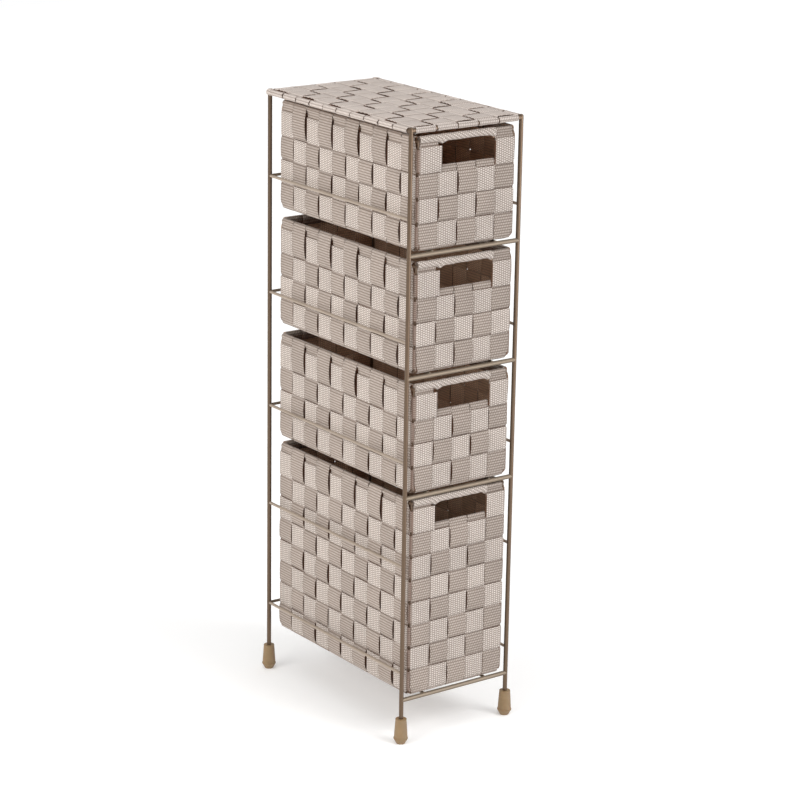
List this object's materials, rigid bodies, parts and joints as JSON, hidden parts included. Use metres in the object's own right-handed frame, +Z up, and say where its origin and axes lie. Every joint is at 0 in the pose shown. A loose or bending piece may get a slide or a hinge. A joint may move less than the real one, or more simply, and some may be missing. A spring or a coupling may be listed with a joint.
{
  "type": "drawer tower",
  "caption": "Narrow wire tower on four feet with a woven strap top and pull-out woven strap drawers, each with a hand slot in its front.",
  "frame": {"origin": "on the floor under the middle of the tower", "axes": "+Z up, +Y from the drawer fronts to the back, +X to the right of a person who faces the fronts"},
  "size_m": [0.1956, 0.3396, 0.8345],
  "materials": {
    "frame_paint": "satin taupe paint",
    "basket_wire": "satin taupe paint",
    "foot_plastic": "matte beige",
    "band_strap": "coarse woven strap, cream",
    "upright_strap": "coarse woven strap, taupe",
    "panel_strap": "coarse woven strap, greige"
  },
  "bodies": {
    "tower": {"front_crossbar_four": "frame_paint", "front_crossbar_one": "frame_paint", "front_crossbar_three": "frame_paint", "front_crossbar_two": "frame_paint", "front_left_foot": "foot_plastic", "front_left_post": "frame_paint", "front_right_foot": "foot_plastic", "front_right_post": "frame_paint", "rear_crossbar_four": "frame_paint", "rear_crossbar_one": "frame_paint", "rear_crossbar_three": "frame_paint", "rear_crossbar_two": "frame_paint", "rear_left_foot": "foot_plastic", "rear_left_post": "frame_paint", "rear_right_foot": "foot_plastic", "rear_right_post": "frame_paint", "runners_four": "frame_paint", "runners_one": "frame_paint", "runners_three": "frame_paint", "runners_two": "frame_paint", "side_rails_four": "frame_paint", "side_rails_middle": "frame_paint", "side_rails_one": "frame_paint", "side_rails_three": "frame_paint", "side_rails_two": "frame_paint", "top_panel_cross_straps": "panel_strap", "top_panel_long_straps": "panel_strap", "top_panel_wires": "frame_paint"},
    "drawer_one": {"drawer_one_base_wire": "basket_wire", "drawer_one_corner_wires": "basket_wire", "drawer_one_cross_straps": "upright_strap", "drawer_one_grip_wrap": "band_strap", "drawer_one_handle_wire": "basket_wire", "drawer_one_long_straps": "upright_strap", "drawer_one_rim_wire": "basket_wire", "drawer_one_round_bands": "band_strap"},
    "drawer_two": {"drawer_two_base_wire": "basket_wire", "drawer_two_corner_wires": "basket_wire", "drawer_two_cross_straps": "upright_strap", "drawer_two_grip_wrap": "band_strap", "drawer_two_handle_wire": "basket_wire", "drawer_two_long_straps": "upright_strap", "drawer_two_rim_wire": "basket_wire", "drawer_two_round_bands": "band_strap"},
    "drawer_three": {"drawer_three_base_wire": "basket_wire", "drawer_three_corner_wires": "basket_wire", "drawer_three_cross_straps": "upright_strap", "drawer_three_grip_wrap": "band_strap", "drawer_three_handle_wire": "basket_wire", "drawer_three_long_straps": "upright_strap", "drawer_three_rim_wire": "basket_wire", "drawer_three_round_bands": "band_strap"},
    "drawer_four": {"drawer_four_base_wire": "basket_wire", "drawer_four_corner_wires": "basket_wire", "drawer_four_cross_straps": "upright_strap", "drawer_four_grip_wrap": "band_strap", "drawer_four_handle_wire": "basket_wire", "drawer_four_long_straps": "upright_strap", "drawer_four_rim_wire": "basket_wire", "drawer_four_round_bands": "band_strap"}
  },
  "joints": [
    {"name": "drawer_one_slide", "type": "slide", "parent": "tower", "child": "drawer_one", "axis": [0, -1, 0], "range_m": [0, 0.22]},
    {"name": "drawer_two_slide", "type": "slide", "parent": "tower", "child": "drawer_two", "axis": [0, -1, 0], "range_m": [0, 0.22]},
    {"name": "drawer_three_slide", "type": "slide", "parent": "tower", "child": "drawer_three", "axis": [0, -1, 0], "range_m": [0, 0.22]},
    {"name": "drawer_four_slide", "type": "slide", "parent": "tower", "child": "drawer_four", "axis": [0, -1, 0], "range_m": [0, 0.22]}
  ]
}
